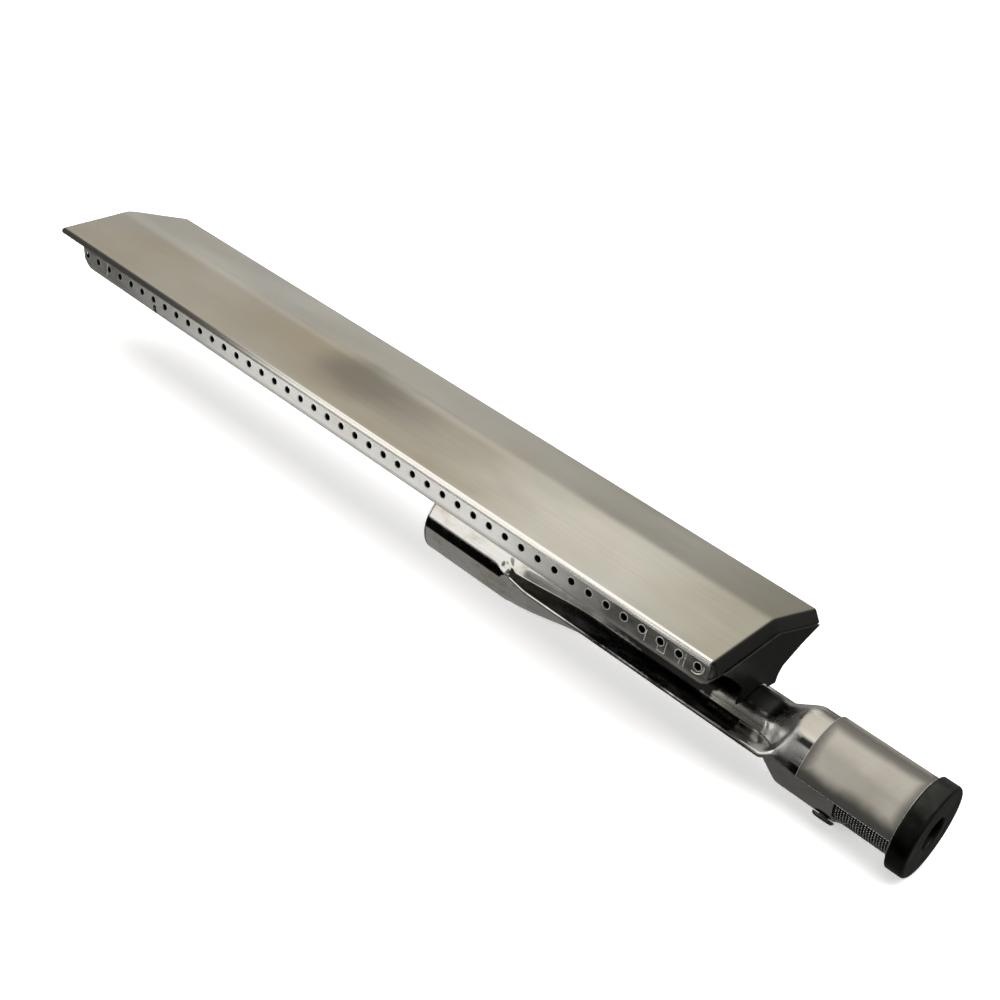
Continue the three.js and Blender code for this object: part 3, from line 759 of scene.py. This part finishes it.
def end_cup(name, node):
    """A dished cup that closes one end of the trough from inside, pierced behind each port."""
    low, high = box_mm(node)
    outer_end, inward = (low[0], 1) if name.startswith("far") else (high[0], -1)
    depth = high[0] - low[0]
    inset = SHEET + 0.3
    foot_y, foot_z = WALL_FOOT_HALF - TROUGH_BEND, TROUGH_Z + TROUGH_BEND

    def outline(shrink):
        top_y = wall_y(roof_z(WALL_TOP_HALF, 2 * inset)) - inset - shrink
        radius = max(TROUGH_BEND - inset - shrink, 0.4)
        half = [(0, roof_z(0, inset + shrink)), (top_y, roof_z(top_y, 2 * inset + shrink))]
        half += arc((foot_y, foot_z), radius, 0, -90, 6) + [(0, foot_z - radius)]
        dense = []
        for (y0, z0), (y1, z1) in zip(half, half[1:]):
            dense += [(y0, z0), ((y0 + y1) / 2, (z0 + z1) / 2)]
        return both_sides(dense + half[-1:])

    corner = 1.6
    outside = [(depth, 0.0), (depth * 0.5, 0.0), (corner, 0.0)]
    outside += arc((corner, corner), corner, 270, 180, 5)[1:]
    inside = [(min(along + SHEET, depth), shrink + SHEET) for along, shrink in outside]
    rows = outside + [(0.0, 6.0), (SHEET, 6.0)] + inside[::-1]
    points = [(outer_end + inward * along, y, z) for along, shrink in rows for y, z in outline(shrink)]
    count = len(outline(0))
    faces = grid_faces(len(rows), count, wrap=True, close=True)
    # The middle of the dish is a flat face on each side, with no wall between them.
    middle = len(outside) * count
    del faces[middle : middle + count]
    faces += lids(count, middle, middle + count)
    obj = piece(name, raise_corners(points), faces, "trough_steel", [node])
    radius = PORT_RADIUS + 0.4
    for x in PORT_X:
        if low[0] - PORT_RADIUS < x < high[0] + PORT_RADIUS:
            hole = [(x + radius * c, PORT_HEIGHT + radius * s) for c, s in circle(20)]
            cut(obj, [(u, side * EAVE_Y, v) for side in (-1, 1) for u, v in hole])


def crimp_marks():
    """Low ribs pressed out of the walls where the end cups are crimped in."""
    points = []
    faces = []
    low = PORT_HEIGHT - 3.7
    # The scored lines near the inlet: port from the end, shift from it, top over the port.
    scores = [(-4, 1.9, 1.2), (-3, -0.5, -1.75), (-3, 2.6, 1.4), (-2, 0.9, -1.75), (-2, 2.7, 1.8)]

    def rib(path, sign, half_width=0.17, height=0.14):
        left = offset_path(path, -half_width)
        right = offset_path(path, half_width)
        base = len(points)
        for a, m, b in zip(left, path, right):
            for (x, z), out in ((a, -0.12), (a, 0.02), (m, height), (b, 0.02), (b, -0.12)):
                points.append((x, sign * (wall_y(z) + out), z))
        faces.extend(grid_faces(len(path), 5, wrap=True, start=base))
        faces.extend(lids(5, base, len(points) - 5))

    for sign in (1, -1):
        for index, shift, top in scores:
            x = PORT_X[index] + shift
            rib([(x, low), (x, low + 1.2), (x + 0.05, PORT_HEIGHT + top)], sign)
        rib(arc((PORT_X[-1] - 0.6, PORT_HEIGHT + 0.1), 3.1, -115, 25, 14), sign, 0.28, 0.2)
        rib([(PORT_X[-3] - 0.5, low), (PORT_X[-3] + 2.6, low)], sign, 0.15)
        rib([(CRIMP_X, z) for z in (low - 0.2, PORT_HEIGHT, PORT_HEIGHT + 4.2)], sign, 0.2, 0.1)
    # The ribs get the painted edge highlight.
    piece("crimp_marks", points, faces, "trough_steel", sharp=30, material=EDGE_HIGHLIGHT)


def end_plate():
    """The plate below the lip, with concave flanks, a tongue over the neck and a foot."""
    x0, x1 = PLATE_HIGH[0] - SHEET, PLATE_HIGH[0]
    peak_z = 32.3
    eave = (PLATE_HIGH[1] - 1.7, 26.0)
    waist = (13.6, 14.2)
    foot = (13.2, 7.0)
    saddle = THROAT_RADIUS + 0.6
    seat = axis_z(x0)
    start = math.degrees(math.asin((foot[1] - seat) / saddle))
    half = [(0, peak_z)]
    for t in np.linspace(0, 1, 9):
        sag = 1.6 * math.sin(math.pi * t) ** 1.2
        y = eave[0] + (waist[0] - eave[0]) * t - 0.25 * sag
        z = eave[1] + (waist[1] - eave[1]) * t + 0.35 * sag
        half.append((y, z))
    half += [(foot[0] - 0.5, 10.5), foot] + arc((0, seat), saddle, start, 90, 10)
    outline = both_sides(half)
    count = len(outline)
    points = [(x, y, z) for x in (x0, x1) for y, z in outline]
    faces = grid_faces(2, count, wrap=True) + lids(count, 0, count)
    # The foot runs back from the plate under the trough.
    foot_half = 13.0
    foot_top = TROUGH_Z - 0.3
    base = len(points)
    near, far = x0 + 0.2, PLATE_LOW[0]
    section = [(near, foot_top - SHEET), (far, foot_top - SHEET), (far, foot_top), (near, foot_top)]
    points += [(x, y, z) for y in (-foot_half, foot_half) for x, z in section]
    faces += grid_faces(2, 4, wrap=True, start=base) + lids(4, base, base + 4)
    obj = piece("end_plate", points, faces, "cap_steel", ["inlet_end_plate"], sharp=30)
    bevel(obj, 0.14, 50)


# ------------------------------------------------------------------ mixer tube


def axis_z(x):
    """Height of the tube's middle: the far chamber hangs a little lower than the inlet."""
    return -CHAMBER_DROP * (1 - smoothstep(x, DIFFUSER[0], SHOULDER[0]))


def tube_radius(x):
    """The pinched throat's radius, growing to the full one at the bell and at the chamber."""
    bell = smoothstep(x, *SHOULDER)
    chamber = 1 - smoothstep(x, *DIFFUSER)
    return THROAT_RADIUS + (TUBE_RADIUS - THROAT_RADIUS) * max(bell, chamber)


def finned_quarter(radius, reach, height):
    """A quarter of the pinched section, from the fin's tip round to the top. The fin's middle
    lies at some height over the section's centre."""
    face = height + FIN_HALF
    fillet = 1.3
    root_y = math.sqrt((radius + fillet) ** 2 - (face + fillet) ** 2)
    turn = math.degrees(math.atan2(face + fillet, root_y))
    quarter = arc((reach - FIN_HALF, height), FIN_HALF, 0, 90, 5)
    quarter += [(y, face) for y in np.linspace(reach - FIN_HALF, root_y, 10)[1:]]
    quarter += arc((root_y, face + fillet), fillet, 270, 180 + turn, 6)[1:]
    quarter += arc((0, 0), radius, turn, 90, 14)[1:]
    return np.array(quarter)


def tube_ring(x, shrink=0.0):
    """One ring of the tube's outside, or of its inside when shrink is the wall."""
    radius = tube_radius(x)
    # The fin comes out of the chamber's side, reaches its full width, and fades into the bell.
    grow = smoothstep(x, FIN_SPAN[0], FIN_SPAN[0] + 17)
    fade = 1 - smoothstep(x, FIN_SPAN[1] + 3, FIN_SPAN[1] + 8.5)
    ease = smoothstep(x, FIN_SPAN[0], FIN_SPAN[0] + 6) * fade
    reach = radius + 0.6 + (FIN_REACH - radius - 0.6) * (0.35 + 0.65 * grow)
    reach = max(reach, radius + 1.2)
    pinched_radius = min(radius, THROAT_RADIUS + (radius - THROAT_RADIUS) * 0.94)
    lift = FIN_HEIGHT - axis_z(x)
    upper, lower = (finned_quarter(pinched_radius, reach, side * lift) for side in (1, -1))
    # The round ring's points crowd toward its sides, where the fins' points are.
    spread = np.radians(90 * np.linspace(0, 1, len(upper)) ** 1.6)
    plain = radius * np.stack([np.cos(spread), np.sin(spread)], 1)
    upper, lower = (plain * (1 - ease) + finned * ease for finned in (upper, lower))
    ring = np.vstack(
        [upper, (upper * [-1, 1])[::-1][1:], (lower * [-1, -1])[1:], (lower * [1, -1])[::-1][1:-1]]
    )
    if shrink:
        size = np.linalg.norm(ring, axis=1)
        ring = ring * (np.minimum(size, radius) - shrink)[:, None] / size[:, None]
    return ring


# Marks pressed into the tube: place along it, angle up from its side in degrees, half its size
# along and across, and its depth.
DIMPLES = [
    (-178.5, 16, 2.4, 2.2, 0.7),
    (-59.0, 16, 4.0, 3.6, 0.75),
    (-51.0, -16, 3.8, 2.2, 0.55),
]


def dimple_depth(x, side_angle, radius):
    """How deep the tube is pressed in at one point of a ring."""
    depth = 0.0
    for centre, angle, along, across, deep in DIMPLES:
        u = (x - centre) / along
        v = (side_angle - math.radians(angle)) * radius / across
        depth += deep * math.exp(-u * u - v * v)
    return depth


def tube():
    """The drawn tube, pinched into a throat with a fin at each side, and dimpled at the fins' ends."""
    xs = [*np.arange(TUBE_LOW[0], FIN_SPAN[0] - 6, 4.0), *np.arange(FIN_SPAN[0] - 6, -134, 0.8)]
    xs += [*np.arange(-134, -72, 4.0), *np.arange(-72, -44, 0.7), *np.linspace(-44, TUBE_HIGH[0], 18)]
    points = []
    for x in xs:
        ring = tube_ring(x)
        radius = tube_radius(x)
        for y, z in ring:
            size = math.hypot(y, z)
            # The fins themselves aren't dimpled.
            press = dimple_depth(x, math.atan2(z, abs(y)), radius) if size < radius + 1.5 else 0.0
            kept = 1 - press / size
            points.append((x, y * kept, z * kept + axis_z(x)))
    count = len(ring)
    for x in reversed(xs):
        points += [(x, y, z + axis_z(x)) for y, z in tube_ring(x, TUBE_WALL)]
    faces = grid_faces(2 * len(xs), count, wrap=True, close=True)
    inside = len(xs) * count
    obj = piece("mixer_tube", points, faces, "polished_tube", ["venturi_tube"], inside=inside)
    cut_windows(obj)


def cut_windows(obj):
    """Cuts the two air windows, with rounded corners, through the lower half of the inlet."""
    middle_x = sum(WINDOW_SPAN) / 2
    length = WINDOW_SPAN[1] - WINDOW_SPAN[0]
    for low, high in WINDOW_ARCS:
        plan = rounded_rectangle(length, math.radians(high - low) * TUBE_RADIUS, 2.6)
        corners = []
        for radius in (TUBE_RADIUS - 4, TUBE_RADIUS + 4):
            for u, v in plan:
                a = math.radians((low + high) / 2) + v / TUBE_RADIUS
                corners.append((middle_x + u, radius * math.cos(a), radius * math.sin(a)))
        cut(obj, corners)


def chamber_plug():
    """The plug that closes the tube's far end: a dished face, a thin rim and a skirt in the tube."""
    low, high = box_mm("chamber_plug")
    face = low[0]
    radius = (high[2] - low[2]) / 2
    skirt = TUBE_RADIUS - TUBE_WALL - 0.3
    seat = TUBE_LOW[0] - 0.3
    profile = [(0, face + 1.0), (radius * 0.45, face + 1.0), (radius * 0.62, face + 0.75)]
    profile += [(radius * 0.74, face + 0.15), (radius * 0.8, face)]
    profile += arc((radius - 0.45, face + 0.45), 0.45, 270, 360, 5)
    profile += [(radius, seat - 0.05), (skirt, seat), (skirt, high[0])]
    profile += [(skirt - SHEET, high[0]), (skirt - SHEET, seat + 0.6), (0, seat + 0.9)]
    points, faces = lathe(profile, 80, (low[2] + high[2]) / 2)
    piece("end_plug", points, faces, "polished_tube", ["chamber_plug"])


def riser():
    """The short rounded duct between the tube and the trough."""
    flange = 3.0
    wide = RISER_HIGH - RISER_LOW
    centre = (RISER_HIGH + RISER_LOW) / 2
    neck = wide - 2 * flange
    bore = neck - 2 * SHEET
    skirt = rounded_rectangle(wide[0], wide[1], 6.7)
    outer = rounded_rectangle(neck[0], neck[1], 3.7)
    inner = rounded_rectangle(bore[0], bore[1], 2.9)
    seat = TROUGH_Z + SHEET + 0.3
    rows = [(outer, RISER_LOW[2]), (outer, seat), (skirt, seat), (skirt, seat + SHEET)]
    rows += [(inner, seat + SHEET), (inner, RISER_LOW[2])]
    points = [(centre[0] + x, centre[1] + y, z) for plan, z in rows for x, y in plan]
    faces = grid_faces(len(rows), len(outer), wrap=True, close=True)
    obj = piece("riser_neck", points, faces, "trough_steel", ["riser_duct"])
    bevel(obj, 0.12, 50)


# ------------------------------------------------------------- inlet hardware


def shutter():
    """The turning sleeve: sheet with a painted highlight on its eased edges."""
    outer = SHUTTER_HIGH[2]
    inner = outer - 0.6
    xs = np.linspace(SHUTTER_LOW[0], SHUTTER_HIGH[0], 16)
    angles = np.radians(np.linspace(-5, 185, 90))
    section = [(outer * math.cos(a), outer * math.sin(a)) for a in angles]
    section += [(inner * math.cos(a), inner * math.sin(a)) for a in angles[::-1]]
    width = len(section)
    points = [(x, y, z) for x in xs for y, z in section]
    faces = grid_faces(len(xs), width, wrap=True)
    for end in (0, len(points) - width):
        for c in range(len(angles) - 1):
            faces.append((end + c, end + c + 1, end + width - 2 - c, end + width - 1 - c))
    obj = piece("shutter_sleeve", points, faces, "shutter_steel", ["air_shutter"], "shutter")
    bevel(obj, 0.2, 50, EDGE_HIGHLIGHT)


def screen():
    """Plain-woven wire rolled into a sleeve: hoops and long wires that pass over and under."""
    middle = SCREEN_HIGH[1] - 0.25
    wire = 0.15
    lift = 0.18
    hoops = 40
    longs = 88
    outward = np.array([(0, c, s) for c, s in circle(longs)])
    hoop_x = np.linspace(SCREEN_LOW[0] + wire, SCREEN_HIGH[0] - wire, hoops)
    # At each crossing one wire is up and the other down, turn about.
    hoop_up = np.where(np.add.outer(np.arange(hoops), np.arange(longs)) % 2, lift, -lift)
    points = []
    faces = []

    def add_wire(path, normals, closed):
        ahead = np.roll(path, -1, 0) - np.roll(path, 1, 0)
        if not closed:
            ahead[0] = path[1] - path[0]
            ahead[-1] = path[-1] - path[-2]
        ahead /= np.linalg.norm(ahead, axis=1)[:, None]
        side = np.cross(ahead, normals)
        base = len(points)
        faces.extend(grid_faces(len(path), 4, wrap=True, close=closed, start=base))
        for p, n, s in zip(path, normals, side):
            for a in math.pi * np.array([0.25, 0.75, 1.25, 1.75]):
                points.append(p + wire * (math.cos(a) * n + math.sin(a) * s))
        if not closed:
            faces.extend(lids(4, base, len(points) - 4))

    for x, up in zip(hoop_x, hoop_up):
        add_wire([x, 0, 0] + outward * (middle + up)[:, None], outward, True)
    for out, up in zip(outward, -hoop_up.T):
        path = np.outer(middle + up, out) + np.outer(hoop_x, [1, 0, 0])
        add_wire(path, np.tile(out, (hoops, 1)), False)
    piece("woven_screen", points, faces, "screen_wire", ["air_screen"], sharp=80)


def cap():
    """The inlet cap: a rolled outer edge, a slightly dished face and a drawn-in orifice hole."""
    hole = 6.35
    back = CAP_LOW[0]
    bore = TUBE_RADIUS + 0.3
    face = 1.6
    profile = [(hole, -face - 0.9)] + arc((hole + 0.75, -0.75), 0.75, 180, 90, 5)
    profile += [(hole + 2.2, -0.12), (CAP_RADIUS - 4.2, -0.12), (CAP_RADIUS - 2.6, 0)]
    profile += arc((CAP_RADIUS - 1.3, -1.3), 1.3, 90, 0, 8) + [(CAP_RADIUS, back + 0.9)]
    profile += arc((CAP_RADIUS - 0.5, back + 0.5), 0.5, 0, -90, 4)
    profile += [(bore + 0.3, back), (bore, back + 0.3), (bore, -face - 0.4), (bore - 0.5, -face)]
    profile += [(hole + 0.9, -face), (hole + 0.55, -face - 0.9)]
    points, faces = lathe(profile, 112)
    piece("cap_ring", points, faces, "cap_steel", ["inlet_cap"], sharp=40)


def screw():
    """A pan-head screw with a cross slot, set in from the tube's outside."""
    head = 4.2
    shank = 1.7
    top = 1.6
    turns = circle(48)
    rings = [(shank, -4.6), (shank, 0.3), (head - 0.15, 0.3), (head, 0.45), (head, 0.75)]
    rings += arc((head - 1.3, 0.3), 1.3, 22, 90, 5) + [(2.2, top)]
    points = [(radius * c, height, radius * s) for radius, height in rings for c, s in turns]
    for size, height in ((1.0, top), (0.75, top - 0.9)):
        for c, s in turns:
            lobe = size * (0.55 + 1.35 * abs(c * c - s * s) ** 6)
            points.append((lobe * c, height, lobe * s))
    count = len(turns)
    faces = grid_faces(len(rings) + 2, count, wrap=True) + lids(count, 0, len(points) - count)
    turn = Matrix.Rotation(SCREW_ANGLE, 4, "X")
    place = Matrix.Translation((SCREW_X, 0, 0)) @ turn @ Matrix.Translation((0, TUBE_RADIUS, 0))
    placed = [tuple(place @ Vector(p)) for p in points]
    piece("screen_screw_head", placed, faces, "fastener", ["screen_screw"], sharp=40)


roof()
trough()
end_cup("far_cup", "far_end_cup")
end_cup("inlet_cup", "inlet_end_cup")
crimp_marks()
end_plate()
tube()
chamber_plug()
riser()
shutter()
screen()
cap()
screw()

# The spreader and the nut are sealed inside, and keep their CAD shape.
for node, slot in (("gas_spreader", "trough_steel"), ("screen_nut", "fastener")):
    inside = frame["nodes"][node]
    inside.data.materials.clear()
    inside.data.materials.append(METAL[slot])
    bevel(inside, 0.12, 40)


# ---------------------------------------------------------------------- studio


def hide(obj, *rays):
    """Keeps a part of the studio out of some kinds of light ray."""
    for ray in rays:
        setattr(obj, "visible_" + ray, False)


def pale_stage(obj, scale, tones, roughness, glow):
    """Gives a part of the studio a plain pale material with some glow of its own."""
    n = Nodes(obj.name)
    n.finish(n.mix(n.noise(scale, 2.0, 0.5), *tones), roughness, metallic=0.0)
    n.glow((1, 0.995, 0.985, 1), glow)
    obj.data.materials.append(n.material)


def floor():
    """A wide pale floor just under the lowest point of the burner."""
    half = 14.0
    height = cad_box[0].z - 0.0002
    corners = [(half * x, half * y, height) for x, y in ((-1, -1), (1, -1), (1, 1), (-1, 1))]
    obj = add_mesh("studio_floor", corners, [(0, 1, 2, 3)], 1.0)
    pale_stage(obj, 2, ((0.88, 0.88, 0.88), (0.91, 0.91, 0.91)), 0.75, 0.38)


def backdrop():
    """A pale round wall behind the floor, which only the camera sees."""
    radius, height, sides = 13.5, 9.0, 96
    base = cad_box[0].z - 0.01
    points = [(radius * c, radius * s, z) for z in (base, base + height) for c, s in circle(sides)]
    obj = add_mesh("backdrop", points, grid_faces(2, sides, wrap=True), 1.0)
    pale_stage(obj, 0.2, ((0.02, 0.02, 0.02), (0.03, 0.03, 0.03)), 0.9, 0.93)
    hide(obj, "diffuse", "glossy", "shadow")


def reflection_card(name, corners, grey, glow):
    """A card that only glossy metal sees, as a studio flag or panel just out of the picture."""
    obj = add_mesh(name, corners, [tuple(range(len(corners)))], 1.0)
    n = Nodes(name)
    n.finish((grey, grey, grey, 1), 1.0, metallic=0.0)
    n.shader.inputs["Specular IOR Level"].default_value = 0.0
    n.glow((1, 0.985, 0.95, 1), glow)
    obj.data.materials.append(n.material)
    hide(obj, "camera", "diffuse", "shadow")


def cards():
    """Dark tables below the burner, a flag along the tube, and two bright panels beside it."""
    low_z = cad_box[0].z + 0.0001
    steps, first, step_length = 8, -0.20, 0.015
    for step in range(steps):
        # Each table glows less than the one before, and the outer two run on far out.
        low_x = first + step_length * step
        high_x = low_x + step_length if step < steps - 1 else 5
        low_x = low_x if step else -5
        corners = [(low_x, -5, low_z), (high_x, -5, low_z), (high_x, 5, low_z), (low_x, 5, low_z)]
        reflection_card("table_%d" % step, corners, 0.0, 0.24 - 0.021 * step)
    flag_top = -0.0031
    flag = [(-0.30, low_z), (0.02, low_z), (0.02, flag_top), (-0.30, flag_top)]
    reflection_card("tube_flag", [(x, -0.030, z) for x, z in flag], 0.004, 0.0)
    # The big panel ends where the inlet's bell and sleeve would begin to mirror it.
    side = [(-0.40, low_z), (-0.205, low_z), (-0.205, 0.060)]
    side += [(-0.152, 0.100), (-0.235, 0.280), (-0.50, 0.280)]
    inlet = [(-0.160, low_z), (-0.138, low_z), (-0.138, 0.080), (-0.160, 0.080)]
    for name, outline in (("side_panel", side), ("inlet_panel", inlet)):
        reflection_card(name, [(x, -0.144, z) for x, z in outline], 0.0, 1.0)


def area_light(name, place, target, size, power, colour=(1, 1, 1)):
    """A soft light that shines on dull surfaces only, since the cards and dome make the glints."""
    data = bpy.data.lights.new(name, "AREA")
    data.shape = "RECTANGLE"
    data.size, data.size_y = size
    data.energy = power
    data.color = colour
    obj = add_object(name, data)
    obj.location = place
    obj.rotation_mode = "QUATERNION"
    obj.rotation_quaternion = (Vector(target) - Vector(place)).to_track_quat("-Z", "Y")
    hide(obj, "glossy")


def world():
    """A studio dome: bright overhead, dim round the horizon, with a dark band up the near side."""
    made = bpy.data.worlds.new("studio")
    bpy.context.scene.world = made
    made.use_nodes = True
    t = Tree(made.node_tree)
    split = t.add("SeparateXYZ", {0: t.add("TexCoord").outputs["Generated"]})

    def ramp(stops):
        node = t.add("ValToRGB", {0: split.outputs["Z"]})
        marks = node.color_ramp.elements
        marks[0].position = stops[0][0]
        marks[1].position = stops[-1][0]
        for position, _ in stops[1:-1]:
            marks.new(position)
        for mark, (_, level) in zip(marks, stops):
            mark.color = (level, level * 0.985, level * 0.95, 1)
        return node.outputs[0]

    # Each stop is a height, from 0 underfoot to 1 overhead, and a brightness.
    far = ramp([(0.0, 0.26), (0.42, 0.24), (0.60, 0.80), (0.75, 1.15), (1.0, 1.25)])
    dark_band = [(0.56, 0.03), (0.74, 0.03)]
    near = ramp([(0.0, 0.10), (0.30, 0.26), (0.50, 0.40), *dark_band, (0.82, 1.2), (1.0, 1.25)])
    light = t.mix(t.remap(split.outputs["Y"], -0.35, 0.15), near, far)
    t.put(t.tree.nodes["Background"].inputs["Color"], light)


def camera():
    """The photograph's view: from the inlet's side, above, and turned a little about its own axis."""
    azimuth, elevation, roll = (math.radians(v) for v in (33.81, 26.57, 16.74))
    distance = 0.520
    target = Vector((-0.1700, -0.0450, 0.0424))
    level = math.cos(elevation)
    back = Vector((math.sin(azimuth) * level, -math.cos(azimuth) * level, math.sin(elevation)))
    data = bpy.data.cameras.new("camera")
    data.lens = 54.0
    data.sensor_width = 36.0
    data.clip_start = 0.01
    data.clip_end = 60.0
    obj = add_object("camera", data)
    obj.location = target + back * distance
    obj.rotation_mode = "QUATERNION"
    turn = Matrix.Rotation(roll, 3, "Z").to_quaternion()
    obj.rotation_quaternion = back.to_track_quat("Z", "Y") @ turn
    bpy.context.scene.camera = obj


floor()
backdrop()
world()
camera()
area_light("overhead", (-0.3, 0.8, 3.0), (-0.3, 0.8, 0), (5.0, 5.0), 120.0, (1, 0.985, 0.95))
area_light("front", (-0.45, -0.95, 0.35), (-0.22, 0, 0.01), (1.2, 0.5), 11.0)
cards()
bpy.context.scene.view_settings.view_transform = "Standard"
